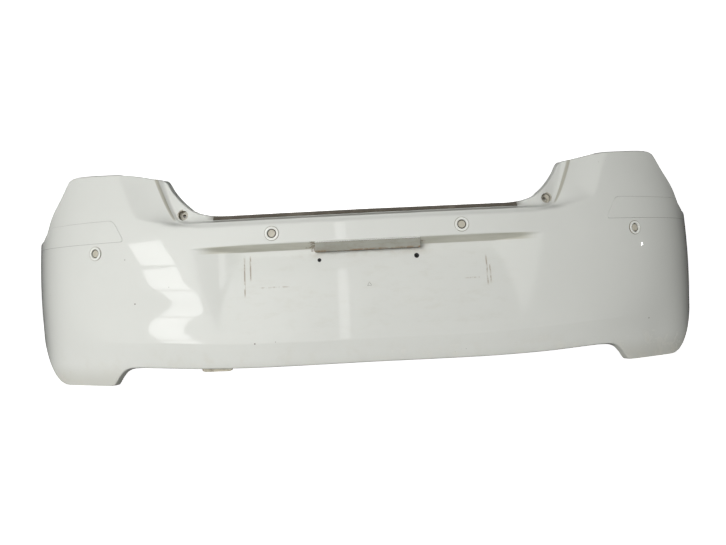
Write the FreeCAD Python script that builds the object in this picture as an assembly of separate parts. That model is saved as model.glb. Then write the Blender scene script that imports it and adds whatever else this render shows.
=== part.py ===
import FreeCAD, Part
import math
import os

from FreeCAD import Vector

# Rear bumper cover of a small hatchback, in millimetres.
# X runs across the car, +Y runs forward into the car, +Z is up and the feet stand on z = 0.
# The skin is laid out on a plan curve: a point has a place along that curve, a height z and a
# depth, which is how far it lies inward from the curve, square to it.

LEFT = -1
RIGHT = 1
SIDES = ((LEFT, "left"), (RIGHT, "right"))

# ---- driving dimensions ----
PLAN_HALF_WIDTH = 852.0
PLAN_DEPTH = 450.0
PLAN_POWER = 3.0
ORIGIN_Y = 166.35          # from the rearmost point of the cover forward to the row's origin
SKIN = 3.0                 # moulded wall
TIP_X = 845.5              # forward tip of the side arm, on the plan curve
TIP_Z = 331.0
CORNER_X = 736.0           # lower outer corner of a foot
CORNER_Z = 9.0
ARCH_RADIUS = 340.0
ARCH_Y = 540.0
ARCH_Z = 68.0
FAN_START = 560.0          # the columns are upright up to here, and fan out to the arch beyond

RECESS_DEPTH = 23.0
RECESS_SIDE_SLOPE = 0.225  # depth gained for each millimetre in from the side of the recess
UNDERSIDE_SLOPE = 1.47     # depth gained for each millimetre down the underside of the overhang
SCOOP_POWER = 1.7          # above 1, the shoulder scoop is steepest where it leaves the crease
BOTTOM_LIP = 44.0
EDGE_LIP = 16.0

SENSOR_INNER = (202.5, 318.2)
SENSOR_OUTER = (603.0, 296.8)
SENSOR_HOLE_R = 12.6
CUP = (402.5, 369.8)
CUP_R = 11.0
CUP_WALL = 2.5
CUP_LENGTH = 13.0
CUP_HOLE_R = 3.5
CUP_BOSS_R = 6.5
CUP_BOSS_END = 32.0
PLATE_HOLE_SPACING = 210.0
PLATE_HOLE_Z = 257.0
PLATE_HOLE_R = {LEFT: 4.2, RIGHT: 5.4}
GROMMET_BORE_R = 2.25
LAMP_HALF_WIDTH = 112.0
LAMP_TOP = 295.0
LAMP_BOTTOM = 274.0

# ---- outlines: (place across the cover, height) ----
TOP_EDGE = [(0, 361.5), (300, 360.5), (334, 362.5), (358, 367), (378, 374.2), (391.4, 383.3),
            (408.3, 397.7), (422.5, 412.4), (434.4, 427.3), (442.5, 441), (451.5, 449), (464, 452),
            (490, 457), (520, 463), (552, 467), (FAN_START, 467.6)]
BOTTOM_EDGE = [(0, 37), (235, 36), (325, 37), (385, 38.5), (460, 42), (515, 44), (534, 43.5),
               (549, 40), (FAN_START, 33)]
FAN_TOP = [(FAN_START, 467.6), (604, 470.5), (638, 473), (668, 474), (684, 472.5), (694, 467.5),
           (701, 458), (707, 446), (715, 432), (724, 419), (734, 406), (744, 391), (752, 376),
           (759, 360), (766, 348), (775, 341), (792, 336), (815, 333), (TIP_X, TIP_Z)]
FAN_BOTTOM = [(FAN_START, 33), (571, 22), (581, 10), (591, 2), (604, 0), (650, 0), (700, 0), (719, 2.5),
              (CORNER_X, CORNER_Z)]
FOOT_ROUNDING = [(CORNER_X, CORNER_Z), (751, 22), (767, 42), (781, 63), (792, 82), (801, 98)]
GROOVE = [(0, 348.5), (385, 348.5), (413, 355), (417, 357), (423, 363), (432, 377), (442.5, 397.5),
          (451, 416), (460.5, 434.5), (470, 456), (474, 480)]
SOFT_CREASE = [(0, 338), (358, 339), (425, 347), (472, 359), (501, 367), (512, 384), (528, 420),
               (548, 456), (556, 480)]
RIDGE = [(0, 84.5), (235, 84.7), (390, 91.5), (470, 95.5), (540, 98), (620, 103), (900, 110)]
RECESS_OUTER = [(100, 308), (117, 322), (135, 336), (183, 353), (235, 368), (285, 377), (300, 380)]
RECESS_FLOOR = [(105, 0), (135, 3), (169, 7.3), (205, 12.5), (235, 17), (272, RECESS_DEPTH),
                (300, RECESS_DEPTH)]

# ---- rows of the skin, from the bottom edge to the top edge ----
LOW_ROWS = [0.0, 0.3, 0.6, 0.85]
RIDGE_ROWS = [-3.5, 0.0, 3.5, 8.0]
MIDDLE_ROWS = [112, 121, 136, 160, 195, 230, 257, 272, 278, 282, 286, 290.5, 294.5, 298, 302, 314,
               328, 337, 343]
HIGH_ROWS = [0.1, 0.2, 0.3, 0.4, 0.5, 0.6, 0.7, 0.8, 0.9, 1.0]
# An edge turns back into a lip: (how far it spreads beyond the outline, how far it goes inward).
LIP_CURVE = [(1.6, 0.8), (3.0, 2.6), (4.2, 8.0)]
LIP_SPREAD = 6.5
COLUMNS = [0, 60, 120, 170, 215, 250, 275, 292, 306, 320, 334, 347, 359, 370, 380, 390, 399, 407, 415,
           422, 428, 434, 440, 447, 455, 464, 475, 488, 502, 520, 540, FAN_START]
FAN_STEPS = [0.06, 0.13, 0.2, 0.27, 0.31, 0.335, 0.36, 0.4, 0.46, 0.53, 0.61, 0.7, 0.79, 0.87, 0.94, 1.0]


# ---- curves ----
def along(points, place):
    """Height of a line through points at a place, held level beyond its ends."""
    if place <= points[0][0]:
        return points[0][1]
    for (x0, y0), (x1, y1) in zip(points, points[1:]):
        if place <= x1:
            return y0 + (y1 - y0) * (place - x0) / (x1 - x0)
    return points[-1][1]


def ramp(value, start, stop):
    """0 up to start and 1 from stop on, with a smooth rise between them."""
    t = min(max((value - start) / (stop - start), 0.0), 1.0)
    return t * t * (3.0 - 2.0 * t)


def plan_y(x):
    """How far forward the plan curve is at a place across the cover."""
    share = 1.0 - (abs(x) / PLAN_HALF_WIDTH) ** PLAN_POWER
    return PLAN_DEPTH * (1.0 - share ** (1.0 / PLAN_POWER))


def plan_table(step=0.25, last=PLAN_HALF_WIDTH - 1.5):
    """The plan curve's right half as (length along it, x, y) rows."""
    rows = [(0.0, 0.0, 0.0)]
    for index in range(1, int(last / step) + 1):
        x = index * step
        y = plan_y(x)
        length = rows[-1][0] + math.hypot(x - rows[-1][1], y - rows[-1][2])
        rows.append((length, x, y))
    return rows


PLAN = plan_table()


def plan_row(value, column):
    """The two table rows on each side of a value, and the share of the way between them."""
    low, high = 0, len(PLAN) - 1
    while high - low > 1:
        middle = (low + high) // 2
        if PLAN[middle][column] <= value:
            low = middle
        else:
            high = middle
    before, after = PLAN[low], PLAN[high]
    share = (value - before[column]) / (after[column] - before[column])
    return before, after, share


def length_at(x):
    """Length along the plan curve from the middle to a place across the cover."""
    before, after, share = plan_row(x, 1)
    return before[0] + share * (after[0] - before[0])


def place(length, depth, z, side=RIGHT):
    """The point at a length along the plan curve, a depth inward from it, and a height."""
    before, after, share = plan_row(length, 0)
    x = before[1] + share * (after[1] - before[1])
    y = before[2] + share * (after[2] - before[2])
    run = math.hypot(after[1] - before[1], after[2] - before[2])
    across = (after[1] - before[1]) / run
    forward = (after[2] - before[2]) / run
    return Vector(side * (x - depth * forward), y + depth * across - ORIGIN_Y, z)


# ---- the shape of the outside ----
def gap(points, a, z):
    """Distance from a point to a line through points."""
    best = 1e9
    for (x0, y0), (x1, y1) in zip(points, points[1:]):
        dx, dy = x1 - x0, y1 - y0
        t = min(max(((a - x0) * dx + (z - y0) * dy) / (dx * dx + dy * dy), 0.0), 1.0)
        best = min(best, math.hypot(a - x0 - t * dx, z - y0 - t * dy))
    return best


def above(points, a, z):
    """Whether a point is above a line that rises to the right."""
    return z > along(points, a)


def recess_depth(a, z):
    """How deep the number-plate recess is cut below the face around it."""
    side = max(RECESS_SIDE_SLOPE * (along(RECESS_OUTER, z) - a), 0.0)
    edge_z = 297.0 - 4.0 * ramp(a, 250, 368)
    under = max(UNDERSIDE_SLOPE * (edge_z - z), 0.0)
    return min(side, under, along(RECESS_FLOOR, z))


def depth_at(a, z):
    """Depth of the outside of the skin at a place across the cover and a height."""
    corner = ramp(a, 480, 700)
    ridge_z = along(RIDGE, a)
    upper = 4.5 * max((z - 210.0) / 130.0, 0.0) ** 2
    if z < ridge_z:
        middle = 12.0 * (ridge_z - z) / 46.0
    else:
        middle = upper + 3.0 * math.sin(math.pi * min((z - ridge_z) / 120.0, 1.0)) ** 2
    tuck = 9.0 - 6.5 * ramp(a, 650, 780)
    outside = upper + tuck * max((210.0 - z) / 125.0, 0.0) ** 1.4
    lean = 4.0 * ramp(z, 380, 470)
    depth = (1.0 - corner) * middle + corner * outside + lean
    return depth + recess_depth(a, z) + shoulder_depth(a, z)


def shoulder_depth(a, z):
    """The soft crease, the scooped facet and the flange round the tailgate opening."""
    if not above(SOFT_CREASE, a, z):
        return 0.0
    drop = 6.0 + 12.0 * ramp(a, 380, 430)
    from_crease = gap(SOFT_CREASE, a, z)
    from_groove = gap(GROOVE, a, z)
    if not above(GROOVE, a, z):
        share = from_crease / (from_crease + from_groove)
        return drop * (1.0 - (1.0 - share) ** SCOOP_POWER)
    wide = ramp(a, 340, 430)
    step = (15.0 - 7.0 * wide) * min(from_groove / 6.0, 1.0)
    shelf = 5.0 * (1.0 - wide) * min(max(from_groove - 6.0, 0.0) / 8.0, 1.0)
    return drop + step + shelf


# ---- the grid of the skin ----
def column_heights(a):
    """Heights of the skin's rows in an upright column."""
    bottom = along(BOTTOM_EDGE, a)
    top = along(TOP_EDGE, a)
    ridge_z = along(RIDGE, a)
    first = ridge_z + RIDGE_ROWS[0]
    heights = [bottom + share * (first - bottom) for share in LOW_ROWS]
    heights += [ridge_z + offset for offset in RIDGE_ROWS]
    heights += MIDDLE_ROWS
    last = MIDDLE_ROWS[-1]
    return heights + [last + share * (top - last) for share in HIGH_ROWS]


def measured(points):
    """Points across the cover turned into points along the plan curve."""
    return [(length_at(a), z) for a, z in points]


def arch_line():
    """The wheel-arch edge from the foot's outer corner up to the tip, along the plan curve."""
    points = measured(FOOT_ROUNDING)
    y = plan_y(FOOT_ROUNDING[-1][0])
    tip_y = plan_y(TIP_X)
    for step in range(1, 9):
        forward = y + (tip_y - y) * step / 8.0
        across = PLAN_HALF_WIDTH * (1.0 - (1.0 - forward / PLAN_DEPTH) ** PLAN_POWER) ** (1.0 / PLAN_POWER)
        height = ARCH_Z + math.sqrt(ARCH_RADIUS ** 2 - (ARCH_Y - forward) ** 2)
        points.append((length_at(across), height))
    shift = TIP_Z - points[-1][1]
    count = len(points) - 1
    return [(s, z + shift * index / count) for index, (s, z) in enumerate(points)]


def at_share(points, share):
    """The point at a share of the length of a line."""
    lengths = [0.0]
    for (x0, y0), (x1, y1) in zip(points, points[1:]):
        lengths.append(lengths[-1] + math.hypot(x1 - x0, y1 - y0))
    wanted = share * lengths[-1]
    for index in range(1, len(points)):
        if wanted <= lengths[index] or index == len(points) - 1:
            part = (wanted - lengths[index - 1]) / (lengths[index] - lengths[index - 1])
            (x0, y0), (x1, y1) = points[index - 1], points[index]
            return x0 + part * (x1 - x0), y0 + part * (y1 - y0)


def fan_columns():
    """Columns that fan out from the last upright one to the wheel arch, as (length, z) rows."""
    heights = column_heights(FAN_START)
    shares = [(z - heights[0]) / (heights[-1] - heights[0]) for z in heights]
    start = length_at(FAN_START)
    bottom = measured(FAN_BOTTOM)
    top = measured(FAN_TOP)
    arch = arch_line()
    columns = []
    for u in FAN_STEPS:
        low = at_share(bottom, u)
        high = at_share(top, u)
        column = []
        for v, z in zip(shares, heights):
            end = at_share(arch, v)
            s = (1 - v) * low[0] + v * high[0] + (1 - u) * start + u * end[0]
            s -= (1 - v) * ((1 - u) * start + u * bottom[-1][0]) + v * ((1 - u) * start + u * top[-1][0])
            h = (1 - v) * low[1] + v * high[1] + (1 - u) * z + u * end[1]
            h -= (1 - v) * ((1 - u) * bottom[0][1] + u * bottom[-1][1])
            h -= v * ((1 - u) * top[0][1] + u * top[-1][1])
            column.append((s, h))
        columns.append(column)
    return columns


def x_at(length):
    """Place across the cover at a length along the plan curve."""
    before, after, share = plan_row(length, 0)
    return before[1] + share * (after[1] - before[1])


def lip_steps(reach):
    """How a lip of a given reach spreads and deepens, step by step."""
    return LIP_CURVE + [(LIP_SPREAD, reach)]


def half_grid():
    """Poles of the right half: a list of columns of (length, z, depth), lips included."""
    main = [[(length_at(a), z) for z in column_heights(a)] for a in COLUMNS]
    main += fan_columns()
    grid = []
    for index, column in enumerate(main):
        a = COLUMNS[index] if index < len(COLUMNS) else 700.0
        reach = BOTTOM_LIP + (EDGE_LIP - BOTTOM_LIP) * ramp(a, 430, 530)
        rows = [(s, z, depth_at(x_at(s), z)) for s, z in column]
        low = rows[0]
        high = rows[-1]
        down = [(low[0], low[1] - spread, low[2] + deep) for spread, deep in lip_steps(reach)]
        up = [(high[0], high[1] + spread, high[2] + deep) for spread, deep in lip_steps(EDGE_LIP)]
        grid.append(down[::-1] + rows + up)
    return [lift_feet(column) for column in grid] + arch_lip(grid[-1])


def lift_feet(column):
    """Keep the lips of the feet on the ground, not below it."""
    return [(s, max(z, 0.0) if z < 8.0 else z, depth) for s, z, depth in column]


def arch_lip(edge):
    """Columns that turn the wheel-arch edge back into a lip, rounded where it meets the other lips."""
    columns = []
    steps = lip_steps(EDGE_LIP)
    last = len(edge) - 1
    for spread, deep in steps:
        column = []
        for index, (s, z, depth) in enumerate(edge):
            before = edge[max(index - 1, 0)]
            after = edge[min(index + 1, last)]
            run = (after[0] - before[0], after[1] - before[1])
            size = math.hypot(*run)
            rim = edge[min(max(index, len(steps)), last - len(steps))][2]
            inward = rim + math.hypot(depth - rim, deep)
            column.append((s + spread * run[1] / size, max(z - spread * run[0] / size, 0.0), inward))
        columns.append(column)
    return columns


def mirrored(half):
    """Points of the whole skin from left to right."""
    left = [[place(s, d, z, LEFT) for s, z, d in column] for column in half[:0:-1]]
    return left + [[place(s, d, z) for s, z, d in column] for column in half]


# ---- solids from grids ----
def knots(count, degree):
    """Clamped, evenly spaced knots and their multiplicities."""
    inner = count - degree - 1
    values = [float(index) for index in range(inner + 2)]
    return values, [degree + 1] + [1] * inner + [degree + 1]


def spline_face(poles, u_degree, v_degree):
    """A face over a grid of poles."""
    u_knots, u_mults = knots(len(poles), u_degree)
    v_knots, v_mults = knots(len(poles[0]), v_degree)
    surface = Part.BSplineSurface()
    surface.buildFromPolesMultsKnots(poles, u_mults, v_mults, u_knots, v_knots, False, False,
                                     u_degree, v_degree)
    return surface.toShape()


def normals(poles):
    """Unit normals of a grid of poles, pointing to the inside of the cover."""
    result = []
    last_u = len(poles) - 1
    last_v = len(poles[0]) - 1
    for i, column in enumerate(poles):
        row = []
        for j in range(len(column)):
            du = poles[min(i + 1, last_u)][j] - poles[max(i - 1, 0)][j]
            dv = poles[i][min(j + 1, last_v)] - poles[i][max(j - 1, 0)]
            normal = dv.cross(du)
            row.append(normal.normalize())
        result.append(row)
    return result


def thick_sheet(poles, thickness):
    """A closed solid between a grid of poles and the same grid moved inward."""
    inward = normals(poles)
    inner = [[p + n * thickness for p, n in zip(col, turn)] for col, turn in zip(poles, inward)]
    faces = [spline_face(poles, 3, 3), spline_face(inner, 3, 3)]
    for column, other in ((poles[0], inner[0]), (poles[-1], inner[-1])):
        faces.append(spline_face([column, other], 1, 3))
    for end in (0, -1):
        rim = [[column[end], other[end]] for column, other in zip(poles, inner)]
        faces.append(spline_face(rim, 3, 1))
    body = Part.Compound(faces)
    body.sewShape()
    solid = Part.Solid(body.Shells[0])
    if solid.Volume < 0:
        solid.reverse()
    return solid


def turned(profile):
    """A solid of revolution about Z from (radius, height) points."""
    corners = [Vector(r, 0, h) for r, h in profile]
    outline = Part.makePolygon(corners + corners[:1])
    return Part.Face(outline).revolve(Vector(0, 0, 0), Vector(0, 0, 1), 360)


def block(low, high):
    """A box between two corners."""
    return Part.makeBox(high[0] - low[0], high[1] - low[1], high[2] - low[2], Vector(*low))


def rounded_block(low, high, radius):
    """A box whose four edges along X are rounded."""
    shape = block(low, high)
    across = Vector(1, 0, 0)
    edges = [e for e in shape.Edges if abs(e.tangentAt(e.FirstParameter).dot(across)) > 0.99]
    return shape.makeFillet(radius, edges)


def rod(start, end, radius):
    """A round bar between two points."""
    run = end - start
    return Part.makeCylinder(radius, run.Length, start, run)


# ---- frames on the skin ----
def skin_point(a, z, side=RIGHT, proud=0.0):
    """A point on the outside of the skin, or proud of it."""
    return place(length_at(a), depth_at(a, z) - proud, z, side)


def skin_frame(a, z, side):
    """Placement with Z out of the skin, X across the car and Y up."""
    reach = 6.0
    across = skin_point(a + reach, z, side) - skin_point(a - reach, z, side)
    up = skin_point(a, z + reach, side) - skin_point(a, z - reach, side)
    if side == LEFT:
        across = across.negative()
    out = across.cross(up).normalize()
    turn = FreeCAD.Rotation(across, up, out, "ZXY")
    return FreeCAD.Placement(skin_point(a, z, side), turn)


def placed(shape, placement):
    """A copy of a shape moved from its own frame to its place."""
    copy = shape.copy()
    copy.Placement = placement
    return copy


# ---- corner mouldings ----
MOULDING_TOP = 367.0
MOULDING_BOTTOM = 319.0
MOULDING_INNER = [(MOULDING_BOTTOM, 531.0), (MOULDING_TOP, 558.0)]
MOULDING_OUTER = [(MOULDING_BOTTOM, 800.0), (345.0, 772.0), (MOULDING_TOP, 747.0)]
MOULDING_GAP = 0.9
MOULDING_PROUD = 0.7
MOULDING_THICK = 2.0
POCKET_DEPTH = 1.6


def moulding_grid(side, grow, proud):
    """Poles over the outline of a corner moulding, grown outward and lifted off the skin."""
    rows = 7
    columns = 20
    grid = []
    for i in range(columns + 1):
        column = []
        for j in range(rows + 1):
            z = MOULDING_BOTTOM - grow + (MOULDING_TOP - MOULDING_BOTTOM + 2 * grow) * j / rows
            inner = length_at(along(MOULDING_INNER, z)) - grow
            outer = length_at(along(MOULDING_OUTER, z)) + grow
            s = inner + (outer - inner) * i / columns
            column.append(place(s, depth_at(x_at(s), z) - proud, z, side))
        grid.append(column)
    return grid[::-1] if side == LEFT else grid


def corner_moulding(side):
    """A strip of trim in a shallow pocket of the skin, round the corner of the car."""
    return thick_sheet(moulding_grid(side, 0.0, MOULDING_PROUD), MOULDING_THICK)


def moulding_pocket(side):
    """What the skin loses for a corner moulding."""
    clear = 5.0
    return thick_sheet(moulding_grid(side, MOULDING_GAP, clear), clear + POCKET_DEPTH)


# ---- seal strip along the top edge ----
SEAL_HALF = 334.0
SEAL_LOW = 356.0
SEAL_HIGH = 363.5
SEAL_THICK = 1.6
SEAL_CLEAR = 0.95


def upper_seal_strip():
    """A flat foam strip along the flange under the tailgate."""
    grid = []
    count = 22
    for i in range(-count, count + 1):
        a = SEAL_HALF * abs(i) / count
        side = LEFT if i < 0 else RIGHT
        heights = [SEAL_LOW + (SEAL_HIGH - SEAL_LOW) * j / 4.0 for j in range(5)]
        grid.append([skin_point(a, z, side, SEAL_THICK + SEAL_CLEAR) for z in heights])
    return thick_sheet(grid, SEAL_THICK)


# ---- tab on the bottom lip ----
TAB_START = 306.0
TAB_END = 374.0
TAB_LOW = 27.0
TAB_HIGH = 34.5
TAB_DEPTH = 24.0
TAB_THICK = 2.5


def lip_tab():
    """A small tab that hangs from the bottom lip, on the left only."""
    grid = []
    for i in range(6):
        s = length_at(TAB_START + (TAB_END - TAB_START) * i / 5.0)
        heights = [TAB_LOW + (TAB_HIGH - TAB_LOW) * j / 4.0 for j in range(5)]
        grid.append([place(s, TAB_DEPTH, z, LEFT) for z in heights])
    return thick_sheet(grid[::-1], TAB_THICK)


# ---- the skin with its holes ----
def screw_cup(side):
    """A blind cup for a corner screw: what it adds and what it takes away."""
    mouth = skin_point(CUP[0], CUP[1], side)
    forward = Vector(0, 1, 0)
    wall = rod(mouth + forward * 1.5, mouth + forward * CUP_LENGTH, CUP_R + CUP_WALL)
    hollow = rod(mouth - forward * 20, mouth + forward * (CUP_LENGTH - CUP_WALL), CUP_R)
    boss = rod(mouth + forward * (CUP_LENGTH - 1), mouth + forward * CUP_BOSS_END, CUP_BOSS_R)
    hole = rod(mouth, mouth + forward * (CUP_BOSS_END + 1), CUP_HOLE_R)
    return wall.fuse(boss), [hollow, hole]


LIP_HOLE_R = 3.5
LIP_HOLE_INNER = 150.0
LIP_HOLE_OUTER = 310.0
LIP_HOLE_DEPTH = 38.0


def lip_hole(a, side):
    """A hole for an undertray fastener in the bottom lip."""
    centre = place(length_at(a), LIP_HOLE_DEPTH, 20.0, side)
    return rod(centre, centre + Vector(0, 0, 40), LIP_HOLE_R)


def plate_hole(side):
    """A hole for a number-plate grommet."""
    centre = skin_point(PLATE_HOLE_SPACING / 2, PLATE_HOLE_Z, side)
    centre.x = side * PLATE_HOLE_SPACING / 2
    return rod(centre - Vector(0, 12, 0), centre + Vector(0, 16, 0), PLATE_HOLE_R[side])


def forward_at(depth):
    """The row's Y at a depth behind the middle of the cover."""
    return depth - ORIGIN_Y


LAMP_FRONT = 5.0
LAMP_BACK = 45.0
LAMP_GAP = 0.5


def lamp_opening():
    """The opening that the plate lamp fills, through the underside of the overhang."""
    low = (-LAMP_HALF_WIDTH - LAMP_GAP, forward_at(LAMP_FRONT - LAMP_GAP), LAMP_BOTTOM - LAMP_GAP)
    high = (LAMP_HALF_WIDTH + LAMP_GAP, forward_at(LAMP_BACK), LAMP_TOP + 1.5)
    return block(low, high)


SENSORS = [("outer_left", SENSOR_OUTER, LEFT), ("inner_left", SENSOR_INNER, LEFT),
           ("inner_right", SENSOR_INNER, RIGHT), ("outer_right", SENSOR_OUTER, RIGHT)]


def sensor_hole():
    """The hole for a parking sensor, in the sensor's own frame."""
    return Part.makeCylinder(SENSOR_HOLE_R, 40, Vector(0, 0, -20))


def bumper_skin():
    """The moulded cover: one thick sheet with cups, pockets and holes."""
    skin = thick_sheet(mirrored(half_grid()), SKIN).fuse(lip_tab())
    cuts = [lamp_opening()]
    for side, _ in SIDES:
        wall, hollows = screw_cup(side)
        skin = skin.fuse(wall)
        cuts += hollows
        cuts += [moulding_pocket(side), plate_hole(side)]
        cuts += [lip_hole(LIP_HOLE_INNER, side), lip_hole(LIP_HOLE_OUTER, side)]
    cuts += [placed(sensor_hole(), skin_frame(a, z, side)) for _, (a, z), side in SENSORS]
    for cut in cuts:
        skin = skin.cut(cut)
    return max(skin.Solids, key=lambda solid: solid.Volume)


# ---- parking sensors, each in its own frame: Z out of the skin, X across, Y up ----
BEZEL = [(9.9, -9.0), (12.1, -9.0), (12.1, 0.5), (14.8, 0.5), (14.8, 1.1), (14.1, 1.7), (10.5, 1.7),
         (9.9, 1.1)]
RING = [(7.8, -8.0), (9.7, -8.0), (9.7, -1.4), (9.3, -1.0), (8.2, -1.0), (7.8, -1.4)]
FACE = [(0.0, 0.2), (7.1, 0.2), (7.6, -0.3), (7.6, -7.0), (6.7, -7.0), (6.7, -1.2), (0.0, -1.2)]
HOUSING = [(0.0, -24.0), (12.7, -24.0), (13.5, -23.2), (13.5, -9.4), (6.4, -9.4), (6.4, -1.8), (0.0, -1.8)]
HOLDER_R = (12.9, 19.0)
HOLDER_FRONT = -4.2
HOLDER_BACK = -7.2
ARM_INNER = 13.9
ARM_OUTER = 16.6
TERMINAL_PITCH = 2.6


def sensor_housing():
    """The sensor's body with a hollow plug socket on its side."""
    body = turned(HOUSING).fuse(rounded_block((9, -6.5, -22.5), (31, 6.5, -11.0), 1.2))
    body = body.cut(rounded_block((17.5, -5.0, -21.0), (32, 5.0, -12.5), 0.8))
    return body.fuse(block((22, -2.0, -11.2), (27, 2.0, -9.6)))


def sensor_terminals():
    """The contact pins in the plug socket."""
    pins = []
    for index in (-1, 0, 1):
        middle = index * TERMINAL_PITCH
        pins.append(block((17.6, middle - 0.3, -17.1), (28.5, middle + 0.3, -16.5)))
    return Part.Compound(pins)


def sensor_holder():
    """A ring behind the skin with two arms that hook over the sensor's body."""
    inner, outer = HOLDER_R
    ring = Part.makeCylinder(outer, HOLDER_FRONT - HOLDER_BACK, Vector(0, 0, HOLDER_BACK))
    for side in (LEFT, RIGHT):
        low, high = sorted((side * ARM_INNER, side * ARM_OUTER))
        ring = ring.fuse(block((-5, low, -26.6), (5, high, HOLDER_FRONT)))
        low, high = sorted((side * 11.0, side * ARM_OUTER))
        ring = ring.fuse(block((-5, low, -26.6), (5, high, -24.3)))
    return ring.cut(Part.makeCylinder(inner, 14, Vector(0, 0, HOLDER_BACK - 4))).removeSplitter()


def sensor_parts():
    """Every piece of one parking sensor, in the sensor's own frame."""
    return {
        "bezel": turned(BEZEL),
        "decoupling_ring": turned(RING),
        "face": turned(FACE),
        "housing": sensor_housing(),
        "terminals": sensor_terminals(),
        "holder": sensor_holder(),
    }


# ---- number-plate lamp and grommets ----
LAMP_WALL = 2.5
LENS_INNER = 36.0
LENS_OUTER = 90.0
BULB_DEPTH = 30.0
BULB_Z = 287.5
LAMP_SCREW_X = 20.0
LAMP_SCREW_DEPTH = 36.0
LAMP_SCREW_R = 1.9


def plate_lamp_housing():
    """The grey casing under the overhang, open at the top, with two windows in its floor."""
    low = (-LAMP_HALF_WIDTH, forward_at(LAMP_FRONT), LAMP_BOTTOM)
    high = (LAMP_HALF_WIDTH, forward_at(LAMP_BACK), LAMP_TOP)
    shape = rounded_block(low, high, 1.2)
    shape = shape.cut(block([v + LAMP_WALL for v in low],
                            (high[0] - LAMP_WALL, high[1] - LAMP_WALL, high[2] + 1)))
    for side in (LEFT, RIGHT):
        x0, x1 = sorted((side * (LENS_INNER + 2), side * (LENS_OUTER - 2)))
        shape = shape.cut(block((x0, forward_at(21), LAMP_BOTTOM - 1), (x1, forward_at(38), LAMP_BOTTOM + 4)))
        foot = Vector(side * LAMP_SCREW_X, forward_at(LAMP_SCREW_DEPTH), LAMP_BOTTOM - 1)
        shape = shape.cut(rod(foot, foot + Vector(0, 0, 6), LAMP_SCREW_R + 0.2))
    return shape


def plate_lamp_lens(side):
    """A clear window with a step that fits the casing's floor."""
    x0, x1 = sorted((side * LENS_INNER, side * LENS_OUTER))
    floor = LAMP_BOTTOM + LAMP_WALL
    plate = block((x0, forward_at(19.2), floor + 0.05), (x1, forward_at(39.8), floor + 1.8))
    x0, x1 = sorted((side * (LENS_INNER + 2.3), side * (LENS_OUTER - 2.3)))
    return plate.fuse(block((x0, forward_at(21.3), LAMP_BOTTOM + 0.3), (x1, forward_at(37.7), floor + 0.1)))


def plate_lamp_bulb(side):
    """A wedge bulb lying across the car."""
    shape = turned([(0, 0), (2.6, 0), (4.9, 3), (5.0, 14), (3.6, 18.5), (1.2, 20.5), (0, 20.8)])
    turn = FreeCAD.Rotation(Vector(0, 0, 1), Vector(-side, 0, 0))
    return placed(shape, FreeCAD.Placement(Vector(side * 76.0, forward_at(BULB_DEPTH), BULB_Z), turn))


def plate_lamp_socket(side):
    """The bulb holder, a stepped round piece with a flange."""
    shape = turned([(0, 0), (6.2, 0), (6.2, 9), (8.0, 9), (8.0, 11.5), (5.0, 11.5), (5.0, 20), (0, 20)])
    turn = FreeCAD.Rotation(Vector(0, 0, 1), Vector(side, 0, 0))
    return placed(shape, FreeCAD.Placement(Vector(side * 76.3, forward_at(BULB_DEPTH), BULB_Z), turn))


def plate_lamp_screws():
    """The two screws that hold the lamp from below."""
    screws = []
    head = [(0, 0), (2.6, 0), (3.8, 0.9), (4.0, 2.2), (LAMP_SCREW_R, 2.2), (LAMP_SCREW_R, 13), (0, 15)]
    for side in (LEFT, RIGHT):
        screw = turned(head)
        slot = block((-0.5, -2.2, -0.2), (0.5, 2.2, 1.2))
        cross = block((-2.2, -0.5, -0.2), (2.2, 0.5, 1.2))
        screw = screw.cut(slot).cut(cross)
        screw.translate(Vector(side * LAMP_SCREW_X, forward_at(LAMP_SCREW_DEPTH), LAMP_BOTTOM - 2.3))
        screws.append(screw)
    return Part.Compound(screws)


def plate_grommet(side):
    """A blind nylon screw grommet, let into its hole, with a collar behind the skin."""
    centre = skin_point(PLATE_HOLE_SPACING / 2, PLATE_HOLE_Z, side)
    centre.x = side * PLATE_HOLE_SPACING / 2
    barrel = PLATE_HOLE_R[side] - 0.3
    profile = [(0, -17), (2.6, -17), (3.6, -15), (3.6, -6.4), (barrel + 2, -6.0), (barrel + 2, -4.6),
               (barrel, -4.6), (barrel, -1.0), (GROMMET_BORE_R, -1.0), (GROMMET_BORE_R, -15.2), (0, -15.2)]
    turn = FreeCAD.Rotation(Vector(0, 0, 1), Vector(0, -1, 0))
    return placed(turned(profile), FreeCAD.Placement(centre, turn))


# ---- everything, one STEP file to a node ----
def nodes():
    """Every sub-part by name."""
    made = {
        "bumper_skin": bumper_skin(),
        "upper_seal_strip": upper_seal_strip(),
        "plate_lamp_housing": plate_lamp_housing(),
        "plate_lamp_screws": plate_lamp_screws(),
    }
    for side, word in SIDES:
        made["corner_moulding_" + word] = corner_moulding(side)
        made["plate_lamp_lens_" + word] = plate_lamp_lens(side)
        made["plate_lamp_bulb_" + word] = plate_lamp_bulb(side)
        made["plate_lamp_socket_" + word] = plate_lamp_socket(side)
        made["plate_grommet_" + word] = plate_grommet(side)
    for word, (a, z), side in SENSORS:
        frame = skin_frame(a, z, side)
        for piece, shape in sensor_parts().items():
            made["sensor_" + piece + "_" + word] = placed(shape, frame)
    return made


os.makedirs("parts", exist_ok=True)
for name, shape in nodes().items():
    shape.exportStep("parts/" + name + ".step")
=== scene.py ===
import math

import bmesh
import bpy
import numpy as np
from mathutils import Matrix, Vector

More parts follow.
